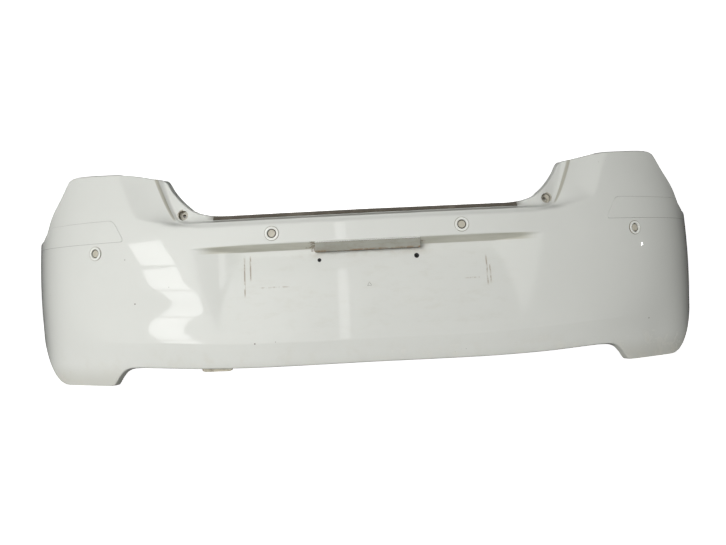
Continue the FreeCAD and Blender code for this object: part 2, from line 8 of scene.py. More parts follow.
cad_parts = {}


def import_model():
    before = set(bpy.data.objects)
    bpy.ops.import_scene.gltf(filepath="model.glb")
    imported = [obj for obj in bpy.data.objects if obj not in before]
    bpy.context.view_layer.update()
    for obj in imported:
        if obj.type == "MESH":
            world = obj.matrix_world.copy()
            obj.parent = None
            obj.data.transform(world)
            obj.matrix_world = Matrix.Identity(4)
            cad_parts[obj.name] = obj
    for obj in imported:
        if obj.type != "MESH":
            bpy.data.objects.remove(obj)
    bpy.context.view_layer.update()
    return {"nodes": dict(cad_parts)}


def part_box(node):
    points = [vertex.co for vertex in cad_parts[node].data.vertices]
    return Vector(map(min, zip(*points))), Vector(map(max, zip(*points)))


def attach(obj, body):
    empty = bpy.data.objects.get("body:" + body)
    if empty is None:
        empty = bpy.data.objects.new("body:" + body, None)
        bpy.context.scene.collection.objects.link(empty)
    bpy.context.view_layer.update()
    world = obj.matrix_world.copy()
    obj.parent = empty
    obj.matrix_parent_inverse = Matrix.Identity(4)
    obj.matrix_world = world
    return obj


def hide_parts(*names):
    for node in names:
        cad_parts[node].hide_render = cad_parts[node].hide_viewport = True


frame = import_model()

MM = 0.001

# The skin is laid out as in the CAD model: a point has a place along the plan curve, a height and
# a depth inward from the curve. Lengths in this part of the script are millimetres.
PLAN_HALF_WIDTH = 852.0
PLAN_DEPTH = 450.0
PLAN_POWER = 3.0
REAR_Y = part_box("bumper_skin")[0][1] / MM
WALL = 3.0
TIP_X = 845.2               # a little short of the CAD tip, so that the mesh stays inside its box
TIP_Z = 331.0
ARCH_RADIUS = 340.0
ARCH_Y = 540.0
ARCH_Z = 68.0
FAN_START = 560.0
GROOVE_COLUMN = 414.0

RECESS_DEPTH = 23.0
RECESS_SIDE_SLOPE = 0.225
UNDERSIDE_SLOPE = 1.47
OVERHANG_EDGE = 297.0       # height of the overhang's edge in the middle
OVERHANG_FALL = 4.0         # how much lower the edge is at the ends of the overhang
LEAN_START = 210.0          # above this height the face leans forward, and below it the corners tuck in
UPPER_LEAN = 4.5
TOP_LEAN = 4.0
FACE_SWELL = 3.0
VALANCE_TUCK = 12.0
FOOT_TUCK = 9.0
FOOT_TUCK_LOST = 6.5        # how much less the foot tucks in towards the wheel arch
SHOULDER_DROP = 6.0
CORNER_DROP = 12.0          # how much deeper the shoulder lies beside the tailgate opening
SCOOP_POWER = 1.7           # above 1, the shoulder scoop is steepest where it leaves the crease
FLANGE_STEP = 15.0
FLANGE_STEP_LOST = 7.0      # how much less the flange steps back beside the opening
FLANGE_STEP_WIDTH = 5.5
FLANGE_SHELF = 5.0
BOTTOM_LIP = 44.0
EDGE_LIP = 16.0
LIP_CURVE = [(1.6, 0.8), (3.0, 2.6), (4.2, 8.0)]
LIP_SPREAD = 5.6


# ---------------------------------------------------------------- curves
def curve(points, value):
    """A smooth line through points that never overshoots them."""
    x, y = (np.array(row, float) for row in zip(*points))
    value = np.clip(value, x[0], x[-1])
    step = np.diff(x)
    slope = np.diff(y) / step
    turn = np.zeros_like(x)
    same = slope[:-1] * slope[1:] > 0
    both = np.where(same, slope[:-1] + slope[1:], 1.0)
    turn[1:-1] = np.where(same, 2 * slope[:-1] * slope[1:] / both, 0.0)
    turn[0], turn[-1] = slope[0], slope[-1]
    i = np.clip(np.searchsorted(x, value, side="right") - 1, 0, len(step) - 1)
    t = (value - x[i]) / step[i]
    return (y[i] * (1 + 2 * t) * (1 - t) ** 2 + step[i] * turn[i] * t * (1 - t) ** 2
            + y[i + 1] * t * t * (3 - 2 * t) + step[i] * turn[i + 1] * t * t * (t - 1))


def ramp(value, start, stop):
    """0 up to start and 1 from stop on, with a smooth rise between them."""
    t = np.clip((value - start) / (stop - start), 0.0, 1.0)
    return t * t * (3.0 - 2.0 * t)


def softly_least(a, b, blend):
    """The lesser of two values, rounded where they cross."""
    h = np.clip(0.5 + 0.5 * (b - a) / blend, 0.0, 1.0)
    return b * (1 - h) + a * h - blend * h * (1 - h)


def plan_table():
    """The right half of the plan curve: length along it, place and direction."""
    x = np.arange(0.0, PLAN_HALF_WIDTH - 1.4, 0.2)
    y = PLAN_DEPTH * (1 - (1 - (x / PLAN_HALF_WIDTH) ** PLAN_POWER) ** (1 / PLAN_POWER))
    length = np.concatenate([[0], np.cumsum(np.hypot(np.diff(x), np.diff(y)))])
    return length, x, y, np.gradient(x, length), np.gradient(y, length)


LENGTH, PLAN_X, PLAN_Y, ACROSS, FORWARD = plan_table()


def length_at(x):
    return np.interp(x, PLAN_X, LENGTH)


def x_at(length):
    return np.interp(length, LENGTH, PLAN_X)


def place(length, depth, z, side=1):
    """Points at a length along the plan curve, a depth inward from it and a height, in metres."""
    x = np.interp(length, LENGTH, PLAN_X) - depth * np.interp(length, LENGTH, FORWARD)
    y = np.interp(length, LENGTH, PLAN_Y) + depth * np.interp(length, LENGTH, ACROSS)
    return np.stack([side * x, y + REAR_Y, z + 0 * x], axis=-1) * MM


def gap(points, a, z):
    """Distance from points to a line."""
    best = np.full(np.shape(a), 1e9)
    for (x0, y0), (x1, y1) in zip(points, points[1:]):
        dx, dy = x1 - x0, y1 - y0
        t = np.clip(((a - x0) * dx + (z - y0) * dy) / (dx * dx + dy * dy), 0.0, 1.0)
        best = np.minimum(best, np.hypot(a - x0 - t * dx, z - y0 - t * dy))
    return best


# ---------------------------------------------------------------- the outside of the skin
BOTTOM_EDGE = [(0, 37), (235, 36), (325, 37), (385, 38.5), (460, 42), (515, 44), (534, 43.5),
               (549, 40), (FAN_START, 33)]
RIDGE = [(0, 84.5), (235, 84.7), (390, 91.5), (470, 95.5), (540, 98), (620, 103), (900, 110)]
RECESS_OUTER = [(90, 306), (117, 322), (135, 336), (183, 353), (235, 368), (285, 377), (300, 380)]
RECESS_FLOOR = [(100, 0), (112, 0.7), (135, 3), (169, 7.3), (205, 12.5), (235, 17), (258, 21),
                (272, RECESS_DEPTH), (300, RECESS_DEPTH)]
SOFT_CREASE = [(0, 338), (358, 339), (425, 347), (472, 359), (501, 367), (512, 384), (528, 420),
               (548, 456), (556, 480)]
# The edge of the tailgate opening and the ear, by column: (column, place, height).
TOP_EDGE = [(0, 0, 361.5), (300, 300, 360.5), (335, 334, 362.5), (348, 358, 367), (360, 378, 374.2),
            (368, 391.4, 383.3), (379, 408.3, 397.7), (388.5, 422.5, 412.4), (397, 434.4, 427.3),
            (403.5, 442.5, 441), (409, 451.5, 449), (GROOVE_COLUMN, 464, 452),
            (440, 490, 457), (470, 520, 463), (505, 552, 467), (530, 577, 469), (FAN_START, 604, 470.5)]
STEP_LINE = [(0, 348.5), (385, 348.5), (GROOVE_COLUMN, 355.5), (472, 361), (501, 366), (FAN_START, 371)]
FAN_TOP = [(604, 470.5), (638, 473), (668, 474), (684, 472.5), (694, 467.5), (701, 458), (707, 446),
           (715, 432), (724, 419), (734, 406), (744, 391), (752, 376), (759, 360), (766, 348),
           (775, 341), (792, 336), (815, 333), (TIP_X, TIP_Z)]
FAN_BOTTOM = [(FAN_START, 33), (571, 22), (581, 10), (591, 2), (604, 0), (650, 0), (700, 0), (719, 2.5),
              (736, 9)]
FOOT_ROUNDING = [(736, 9), (751, 22), (767, 42), (781, 63), (792, 82), (801, 98)]
COLUMN_LEAN = 0.75


def top_edge(column):
    """Place and height of the skin's upper edge at a column."""
    return (curve([(c, a) for c, a, _ in TOP_EDGE], column),
            curve([(c, z) for c, _, z in TOP_EDGE], column))


def upper_point(column, share):
    """A point of the shoulder, a share of the way up a leaning column."""
    a, z = top_edge(column)
    step = curve(STEP_LINE, column)
    return column + (a - column) * share ** COLUMN_LEAN, step + (z - step) * share


def groove_line():
    """The step that bounds the flange round the tailgate opening."""
    start = [(c, float(curve(STEP_LINE, c))) for c in (0, 385, 400)]
    rise = [upper_point(GROOVE_COLUMN, share) for share in np.linspace(0, 1, 12)]
    return start + [(float(a), float(z)) for a, z in rise]


GROOVE = groove_line()


def recess_depth(a, z):
    """How deep the number-plate recess is cut below the face around it."""
    inside = curve(RECESS_OUTER, z) - a
    side = RECESS_SIDE_SLOPE * (inside + np.hypot(inside, 3.0)) / 2.0
    edge_z = OVERHANG_EDGE - OVERHANG_FALL * ramp(a, 250, 368)
    under = np.maximum(UNDERSIDE_SLOPE * (edge_z - z), 0.0)
    return np.minimum(softly_least(side, curve(RECESS_FLOOR, z), 1.2).clip(0), under)


def shoulder_depth(a, z, flange):
    """The soft crease, the scooped facet and the flange round the tailgate opening."""
    drop = SHOULDER_DROP + CORNER_DROP * ramp(a, 380, 430)
    from_crease = gap(SOFT_CREASE, a, z)
    from_groove = gap(GROOVE, a, z)
    share = from_crease / (from_crease + from_groove + 1e-6)
    facet = drop * (1.0 - (1.0 - share) ** SCOOP_POWER)
    wide = ramp(a, 340, 430)
    step = (FLANGE_STEP - FLANGE_STEP_LOST * wide) * np.minimum(from_groove / FLANGE_STEP_WIDTH, 1.0)
    shelf = FLANGE_SHELF * (1.0 - wide) * np.clip((from_groove - 6.0) / 8.0, 0.0, 1.0)
    inside = np.where(flange, drop + step + shelf, facet)
    return np.where(z > np.interp(a, *zip(*SOFT_CREASE)), inside, 0.0)


def depth_at(a, z, flange=False):
    """Depth of the outside of the skin at a place across the cover and a height."""
    corner = ramp(a, 480, 700)
    ridge_z = curve(RIDGE, a)
    upper = UPPER_LEAN * np.maximum((z - LEAN_START) / 130.0, 0.0) ** 2
    swell = upper + FACE_SWELL * np.sin(np.pi * np.clip((z - ridge_z) / 120.0, 0.0, 1.0)) ** 2
    middle = np.where(z < ridge_z, VALANCE_TUCK * (ridge_z - z) / 46.0, swell)
    tuck = FOOT_TUCK - FOOT_TUCK_LOST * ramp(a, 650, 780)
    outside = upper + tuck * np.maximum((LEAN_START - z) / 125.0, 0.0) ** 1.4
    depth = (1.0 - corner) * middle + corner * outside + TOP_LEAN * ramp(z, 380, 470)
    return depth + recess_depth(a, z) + shoulder_depth(a, z, flange)


# ---------------------------------------------------------------- the grid of the skin
LOW_SHARES = [0.0, 0.12, 0.26, 0.42, 0.6, 0.8]
RIDGE_OFFSETS = [-2.6, -0.8, 0.8, 2.6, 5.5]
MIDDLE_HEIGHTS = [109.5, 114, 119, 125, 134, 144, 155, 167, 180, 194, 208, 222, 236, 248, 258, 266, 272,
                  276, 279, 281, 282.5, 284.5, 288, 291.5, 294, 295.6, 297, 298.6, 301, 306, 314, 323,
                  331]
NEAR_STEP = [0.2, 0.42, 0.62, 0.82, 0.93]
UPPER_SHARES = [0.0, 0.07, 0.14, 0.22, 0.31, 0.4, 0.5, 0.6, 0.7, 0.79, 0.87, 0.94, 1.0]


def column_places():
    """Where the upright columns of the right half stand."""
    spans = [(0, 260, 20), (260, 380, 19), (380, 408, 8), (408, 420, 5), (420, 500, 12),
             (500, FAN_START, 8)]
    parts = [np.linspace(a, b, n, endpoint=False) for a, b, n in spans]
    return np.concatenate(parts + [[FAN_START]])


def upright_columns():
    """Place, height and flange flag of the grid's points up to the fan."""
    places, heights, flags = [], [], []
    for c in column_places():
        bottom = float(curve(BOTTOM_EDGE, c))
        ridge_z = float(curve(RIDGE, c))
        step = float(curve(STEP_LINE, c))
        first = ridge_z + RIDGE_OFFSETS[0]
        z = [bottom + share * (first - bottom) for share in LOW_SHARES]
        z += [ridge_z + offset for offset in RIDGE_OFFSETS]
        z += MIDDLE_HEIGHTS
        z += [MIDDLE_HEIGHTS[-1] + share * (step - MIDDLE_HEIGHTS[-1]) for share in NEAR_STEP]
        a = [c] * len(z)
        for share in UPPER_SHARES:
            upper_a, upper_z = upper_point(c, share)
            a.append(float(upper_a))
            z.append(float(upper_z))
        places.append(a)
        heights.append(z)
        flags.append([c < GROOVE_COLUMN and height > step + 0.01 for height in z])
    return np.array(places), np.array(heights), np.array(flags)


def measured(points):
    """Points across the cover turned into points along the plan curve."""
    return np.array([(length_at(a), z) for a, z in points])


def arch_line():
    """The wheel-arch edge from the foot's outer corner up to the tip, along the plan curve."""
    start = measured(FOOT_ROUNDING)
    tip_y = np.interp(TIP_X, PLAN_X, PLAN_Y)
    forward = np.linspace(np.interp(FOOT_ROUNDING[-1][0], PLAN_X, PLAN_Y), tip_y, 24)[1:]
    length = np.interp(forward, PLAN_Y, LENGTH)
    height = ARCH_Z + np.sqrt(ARCH_RADIUS ** 2 - (ARCH_Y - forward) ** 2)
    line = np.concatenate([start, np.stack([length, height], axis=1)])
    shift = TIP_Z - line[-1, 1]
    line[:, 1] += shift * np.linspace(0, 1, len(line))
    return line


def at_share(line, share):
    """Points at shares of the length of a line, on a smooth curve through it."""
    length = np.concatenate([[0], np.cumsum(np.hypot(*np.diff(line, axis=0).T))])
    wanted = np.asarray(share) * length[-1]
    return np.stack([curve(list(zip(length, line[:, k])), wanted) for k in (0, 1)], axis=-1)


def fan_shares():
    """Steps of the fan, closer together round the ear's corner."""
    return np.concatenate([np.linspace(0.03, 0.15, 5), np.linspace(0.17, 0.25, 6),
                           np.linspace(0.28, 0.88, 16), np.linspace(0.91, 1.0, 4)])


def fan_columns(edge_s, edge_z):
    """Columns that fan out from the last upright one to the wheel arch."""
    v = (edge_z - edge_z[0]) / (edge_z[-1] - edge_z[0])
    edge = np.stack([edge_s, edge_z], axis=-1)
    arch = at_share(arch_line(), v)
    columns = []
    for u in fan_shares():
        low = at_share(measured(FAN_BOTTOM), u)
        high = at_share(measured(FAN_TOP), u)
        rule = (1 - v)[:, None] * low + v[:, None] * high + (1 - u) * edge + u * arch
        low_corner = (1 - u) * edge[0] + u * arch[0]
        high_corner = (1 - u) * edge[-1] + u * arch[-1]
        columns.append(rule - (1 - v)[:, None] * low_corner - v[:, None] * high_corner)
    grid = np.array(columns)
    return grid[..., 0], grid[..., 1]


def half_grid():
    """Length, height and depth of the right half's points, with the lips along every edge."""
    a, z, flags = upright_columns()
    s = length_at(a)
    fan_s, fan_z = fan_columns(s[-1], z[-1])
    s = np.concatenate([s, fan_s])
    z = np.concatenate([z, fan_z])
    flags = np.concatenate([flags, np.zeros_like(fan_s, bool)])
    depth = depth_at(x_at(s), z, flags)
    columns = np.concatenate([column_places(), np.full(len(fan_s), 700.0)])
    reach = BOTTOM_LIP + (EDGE_LIP - BOTTOM_LIP) * ramp(columns, 430, 530)
    low, high = [], []
    for spread, deep in LIP_CURVE + [(LIP_SPREAD, None)]:
        down = reach if deep is None else deep
        up = EDGE_LIP if deep is None else deep
        low.insert(0, (s[:, 0], z[:, 0] - spread, depth[:, 0] + down))
        high.append((s[:, -1], z[:, -1] + spread, depth[:, -1] + up))
    stack = [np.stack([part[k] for part in low] + list((s, z, depth)[k].T)
                      + [part[k] for part in high], axis=1) for k in range(3)]
    s, z, depth = stack
    z = np.where(z < 8.0, np.maximum(z, 0.0), z)
    return arch_lip(s, z, depth)


def arch_lip(s, z, depth):
    """Adds columns that turn the wheel-arch edge back into a lip."""
    lips = len(LIP_CURVE) + 1
    edge_s, edge_z, edge_d = s[-1], z[-1], depth[-1]
    run = np.stack([np.gradient(edge_s), np.gradient(edge_z)])
    run /= np.hypot(*run) + 1e-9
    rim = edge_d.copy()
    rim[:lips] = edge_d[lips]
    rim[-lips:] = edge_d[-lips - 1]
    for spread, deep in LIP_CURVE + [(LIP_SPREAD, EDGE_LIP)]:
        s = np.vstack([s, edge_s + spread * run[1]])
        z = np.vstack([z, np.maximum(edge_z - spread * run[0], 0.0)])
        depth = np.vstack([depth, rim + np.hypot(edge_d - rim, deep)])
    return s, z, depth


# ---------------------------------------------------------------- mesh helpers
def new_object(name, vertices, faces):
    """An object from points in metres."""
    mesh = bpy.data.meshes.new(name)
    mesh.from_pydata([tuple(v) for v in vertices], [], faces)
    mesh.update()
    made = bpy.data.objects.new(name, mesh)
    bpy.context.scene.collection.objects.link(made)
    return made


def grid_faces(columns, rows):
    """Quads of a grid whose points are listed column by column, facing out of the cover."""
    return [(i * rows + j, (i + 1) * rows + j, (i + 1) * rows + j + 1, i * rows + j + 1)
            for i in range(columns - 1) for j in range(rows - 1)]


def settle(made):
    """Applies an object's modifiers."""
    graph = bpy.context.evaluated_depsgraph_get()
    mesh = bpy.data.meshes.new_from_object(made.evaluated_get(graph))
    old = made.data
    made.modifiers.clear()
    made.data = mesh
    bpy.data.meshes.remove(old)


def smooth(made, angle=35):
    """Smooth shading with sharp edges where faces meet at more than an angle."""
    mesh = made.data
    mesh.polygons.foreach_set("use_smooth", [True] * len(mesh.polygons))
    mesh.set_sharp_from_angle(angle=math.radians(angle))


def closed_sheet(name, outer, inner):
    """A closed mesh between two grids of points, for a cutter or a strip."""
    columns, rows = outer.shape[:2]
    count = columns * rows
    faces = grid_faces(columns, rows)
    faces += [tuple(count + k for k in reversed(face)) for face in faces]
    for i in range(columns - 1):
        for j, flip in ((0, False), (rows - 1, True)):
            quad = (i * rows + j, count + i * rows + j, count + (i + 1) * rows + j, (i + 1) * rows + j)
            faces.append(quad[::-1] if flip else quad)
    for j in range(rows - 1):
        for i, flip in ((0, True), (columns - 1, False)):
            quad = (i * rows + j, count + i * rows + j, count + i * rows + j + 1, i * rows + j + 1)
            faces.append(quad[::-1] if flip else quad)
    return new_object(name, np.concatenate([outer.reshape(-1, 3), inner.reshape(-1, 3)]), faces)


def lathe(name, profile, matrix, segments=96):
    """A closed solid of revolution about Z from (radius, height) points in mm."""
    vertices, faces = [], []
    count = len(profile)
    for k in range(segments):
        turn = 2 * math.pi * k / segments
        for r, h in profile:
            r = max(r, 0.001)
            vertices.append(matrix @ Vector((r * math.cos(turn) * MM, r * math.sin(turn) * MM, h * MM)))
    for k in range(segments):
        for j in range(count):
            after = (j + 1) % count
            other = (k + 1) % segments
            faces.append((k * count + j, other * count + j, other * count + after, k * count + after))
    made = new_object(name, vertices, faces)
    bm = bmesh.new()
    bm.from_mesh(made.data)
    bmesh.ops.remove_doubles(bm, verts=bm.verts, dist=0.004 * MM)
    bmesh.ops.recalc_face_normals(bm, faces=bm.faces)
    bm.to_mesh(made.data)
    bm.free()
    return made


def box_mesh(name, low, high):
    """A plain box, for cutting, in metres."""
    made = new_object(name, [], [])
    bm = bmesh.new()
    middle = (Vector(low) + Vector(high)) / 2
    size = Vector(high) - Vector(low)
    bmesh.ops.create_cube(bm, size=1.0, matrix=Matrix.Translation(middle) @ Matrix.Diagonal((*size, 1)))
    bm.to_mesh(made.data)
    bm.free()
    return made


def skin_frame(a, z, side):
    """Matrix with Z out of the skin, X across the car and Y up, at a place on the skin."""
    reach = 6.0
    here = [place(length_at(x), depth_at(x, h), h, side) for x, h in
            ((a, z), (a + reach, z), (a - reach, z), (a, z + reach), (a, z - reach))]
    here = [Vector([float(v) for v in point]) for point in here]
    across = (here[1] - here[2]) * side
    up = here[3] - here[4]
    out = across.cross(up).normalized()
    across = (across - out * across.dot(out)).normalized()
    up = out.cross(across)
    return Matrix.Translation(here[0]) @ Matrix((across, up, out)).transposed().to_4x4()


def centre(node):
    """Middle of a CAD node's box, in metres."""
    low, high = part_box(node)
    return (Vector(low) + Vector(high)) / 2


# ---------------------------------------------------------------- materials
class Nodes:
    """A short way to build a node tree for one material."""

    def __init__(self, name):
        self.material = bpy.data.materials.new(name)
        self.material.use_nodes = True
        self.tree = self.material.node_tree
        self.shader = self.tree.nodes["Principled BSDF"]
        self.place = self.add("ShaderNodeTexCoord").outputs["Object"]

    def add(self, kind, **values):
        node = self.tree.nodes.new(kind)
        for key, value in values.items():
            setattr(node, key, value)
        return node

    def put(self, socket, value):
        """Sets a socket, or links it where the value is another node's output."""
        if isinstance(value, bpy.types.NodeSocket):
            self.tree.links.new(value, socket)
        else:
            socket.default_value = value

    def noise(self, scale, detail=3.0, rough=0.5, at=None):
        node = self.add("ShaderNodeTexNoise")
        self.put(node.inputs["Vector"], at or self.place)
        self.put(node.inputs["Scale"], scale)
        self.put(node.inputs["Detail"], detail)
        self.put(node.inputs["Roughness"], rough)
        return node.outputs["Fac"]

    def cells(self, scale):
        node = self.add("ShaderNodeTexVoronoi")
        self.put(node.inputs["Vector"], self.place)
        self.put(node.inputs["Scale"], scale)
        return node.outputs["Distance"]

    def maths(self, kind, a, b=0.0, clamp=False):
        node = self.add("ShaderNodeMath", operation=kind, use_clamp=clamp)
        self.put(node.inputs[0], a)
        self.put(node.inputs[1], b)
        return node.outputs[0]

    def gather(self, masks):
        """Masks added up, never above 1."""
        total = masks[0]
        for mask in masks[1:]:
            total = self.maths("ADD", total, mask, clamp=True)
        return total

    def span(self, value, low, high, out_low=0.0, out_high=1.0):
        """A value's range turned into another, with a smooth rise."""
        node = self.add("ShaderNodeMapRange", interpolation_type="SMOOTHSTEP")
        for key, entry in (("Value", value), ("From Min", low), ("From Max", high),
                           ("To Min", out_low), ("To Max", out_high)):
            self.put(node.inputs[key], entry)
        return node.outputs["Result"]

    def axes(self):
        """The three coordinates of the point, in metres."""
        node = self.add("ShaderNodeSeparateXYZ")
        self.put(node.inputs[0], self.place)
        return node.outputs

    def stretched(self, x, y, z):
        node = self.add("ShaderNodeMapping")
        self.put(node.inputs["Vector"], self.place)
        node.inputs["Scale"].default_value = (x, y, z)
        return node.outputs["Vector"]

    def blend(self, share, first, second):
        """A colour between two others."""
        node = self.add("ShaderNodeMix", data_type="RGBA")
        self.put(node.inputs["Factor"], share)
        self.put(node.inputs["A"], first if isinstance(first, bpy.types.NodeSocket) else (*first, 1.0))
        self.put(node.inputs["B"], second if isinstance(second, bpy.types.NodeSocket) else (*second, 1.0))
        return node.outputs["Result"]

    def bump(self, height, strength, distance=0.001):
        node = self.add("ShaderNodeBump")
        self.put(node.inputs["Height"], height)
        node.inputs["Strength"].default_value = strength
        node.inputs["Distance"].default_value = distance
        self.put(self.shader.inputs["Normal"], node.outputs["Normal"])

    def finish(self, colour, rough, **sockets):
        self.put(self.shader.inputs["Base Color"], colour)
        self.put(self.shader.inputs["Roughness"], rough)
        for name, value in sockets.items():
            self.shader.inputs[name.replace("_", " ")].default_value = value
        return self.material


PAINT = (0.70, 0.71, 0.675)
# Places of the paint's marks, in metres across the car and up.
OVERHANG_LOW = 0.2815
OVERHANG_HIGH = 0.2955
OVERHANG_END = 0.325
OVERHANG_FADE = 0.372
# Radius of the painted shadow line, with dirt, round each sensor bezel.
BEZEL_SHADOW_RING_R = 0.0158
PRINT_BAR_Z = 0.2035
PRINT_LINES = [(-0.2668, 0.188, 0.272), (-0.2540, 0.220, 0.270), (0.2548, 0.188, 0.248),
               (0.2615, 0.194, 0.236)]
PRINT_BARS = [(-0.232, -0.174), (0.208, 0.243)]
CHIPS = [((-0.510, 0.182), 0.0016), ((-0.249, 0.086), 0.0016), ((-0.205, 0.088), 0.0008),
         ((0.632, 0.091), 0.0014), ((-0.529, 0.279), 0.0011), ((-0.430, 0.215), 0.0007)]
LAMP_STAINS = [(-0.134, -0.121, 0.2835, 0.2860), (-0.1215, -0.1125, 0.276, 0.2965),
               (-0.1265, -0.1215, 0.2935, 0.2965), (0.1145, 0.124, 0.2865, 0.2885)]


def band(n, value, low, high, soft):
    """1 between two values and 0 outside, with soft sides."""
    return n.maths("MULTIPLY", n.span(value, low - soft, low + soft), n.span(value, high + soft, high - soft))


def groove_shade_and_dirt_mask(n, x, z):
    """Painted shade and dirt along the step between the scooped shoulder and the flange, from its place at
    each height.
    """
    rise = n.maths("DIVIDE", n.maths("SUBTRACT", z, 0.353), 0.100, clamp=True)
    line = n.maths("ADD", n.maths("MULTIPLY", n.maths("POWER", rise, 0.75), 0.052), 0.4115)
    off = n.maths("SUBTRACT", n.maths("ABSOLUTE", x), line)
    wide = n.maths("ADD", n.maths("MULTIPLY", rise, 0.0055), 0.0035)
    inside = n.maths("GREATER_THAN", n.maths("ADD", off, wide), 0.0)
    soft = n.span(n.maths("ABSOLUTE", n.maths("ADD", off, 0.003)), 0.0055, 0.002)
    return n.maths("MULTIPLY", n.maths("MULTIPLY", inside, soft), n.span(z, 0.354, 0.366))


def thin_line(n, across, at, width):
    """1 on a thin line at a place along one axis."""
    return n.span(n.maths("ABSOLUTE", n.maths("SUBTRACT", across, at)), width, width * 0.3)


def frame_prints(n, x, z):
    """The broken brown lines that a number-plate frame left in the recess."""
    broken = n.span(n.noise(1.0, 5.0, 0.7, n.stretched(140.0, 1.0, 55.0)), 0.42, 0.58)
    marks = [n.maths("MULTIPLY", thin_line(n, x, at, 0.0023), band(n, z, low, high, 0.006))
             for at, low, high in PRINT_LINES]
    for low, high in PRINT_BARS:
        bar = n.maths("MULTIPLY", thin_line(n, z, PRINT_BAR_Z, 0.0022), band(n, x, low, high, 0.006))
        marks.append(n.maths("MULTIPLY", bar, 0.6))
    return n.maths("MULTIPLY", n.gather(marks), broken)


def spot(n, x, z, middle, radius, soft):
    """1 inside a round spot, measured across the car and up."""
    across = n.maths("SUBTRACT", x, middle[0])
    up = n.maths("SUBTRACT", z, middle[1])
    away = n.maths("SQRT", n.maths("ADD", n.maths("MULTIPLY", across, across), n.maths("MULTIPLY", up, up)))
    return n.span(away, radius + soft, radius - soft)


def stone_chips(n, x, z):
    """A few dark chips and the crumbs round them."""
    crumbs = n.maths("MULTIPLY", n.span(n.cells(60.0), 0.05, 0.03), n.span(n.noise(7.0, 2.0), 0.66, 0.68))
    return n.gather([crumbs] + [spot(n, x, z, middle, radius, 0.0005) for middle, radius in CHIPS])


def bezel_shadow_and_dirt(n, x, z):
    """A thin painted shadow line with dirt round each sensor's bezel, which covers the middle of the spot."""
    middles = [centre(name) for name in frame["nodes"] if name.startswith("sensor_bezel")]
    rings = [spot(n, x, z, (middle.x, middle.z), BEZEL_SHADOW_RING_R, 0.0006) for middle in middles]
    return n.maths("MULTIPLY", n.gather(rings), n.span(n.noise(90.0, 3.0), 0.25, 0.5, 0.55, 1.0))


def lamp_end_stains(n, x, z):
    """Brown marks by the ends of the plate lamp."""
    rust = n.span(n.noise(300.0, 3.0, 0.6), 0.4, 0.55)
    marks = [n.maths("MULTIPLY", band(n, x, left, right, 0.0012), band(n, z, low, high, 0.0008))
             for left, right, low, high in LAMP_STAINS]
    return n.maths("MULTIPLY", n.gather(marks), rust)


def haze_and_bottom_tones(n, z, cloud, low):
    """The paint's own colour with a faint haze, darker towards the bottom edge, and blotchy dirt low down."""
    film = n.blend(n.span(cloud, 0.35, 0.7), PAINT, tuple(c * 0.955 for c in PAINT))
    # Darker towards the bottom edge.
    colour = n.blend(n.maths("MULTIPLY", n.span(z, 0.055, 0.005), 0.45), film, (0.44, 0.43, 0.37))
    return n.blend(n.maths("MULTIPLY", low, 0.35), colour, (0.50, 0.45, 0.33))


def overhang_shade_and_dirt(n, colour, under, away, z):
    """Painted shade with wiped dirt on the underside of the overhang, and drips of dirt on the face just
    below it.
    """
    wipes = n.noise(1.0, 5.0, 0.6, n.stretched(9.0, 60.0, 60.0))
    # Painted shade mixed with wiped dirt, for the underside of the overhang.
    shade_and_dirt_tone = n.blend(n.span(wipes, 0.3, 0.7), (0.42, 0.415, 0.34), (0.54, 0.53, 0.455))
    colour = n.blend(n.maths("MULTIPLY", under, 0.85), colour, shade_and_dirt_tone)
    below = n.maths("MULTIPLY", band(n, z, 0.262, OVERHANG_LOW, 0.006), n.span(away, 0.20, 0.10))
    drips = n.span(n.noise(1.0, 5.0, 0.65, n.stretched(24.0, 20.0, 30.0)), 0.42, 0.68)
    return n.blend(n.maths("MULTIPLY", n.maths("MULTIPLY", below, drips), 0.22), colour, (0.40, 0.33, 0.22))


def top_edge_dark_band(n, away, z):
    """A darker band on the edge under the tailgate."""
    mask = n.maths("MULTIPLY", n.span(z, 0.3555, 0.358), n.span(away, 0.352, 0.325))
    return n.maths("MULTIPLY", mask, n.span(z, 0.372, 0.369))


def recess_film(n, away, z):
    """Patches of thin film in the number-plate recess."""
    inside = n.maths("MULTIPLY", band(n, z, 0.10, 0.275, 0.02), n.span(away, 0.34, 0.28))
    patches = n.noise(1.0, 6.0, 0.7, n.stretched(22.0, 22.0, 60.0))
    return n.maths("MULTIPLY", inside, n.span(patches, 0.48, 0.72))


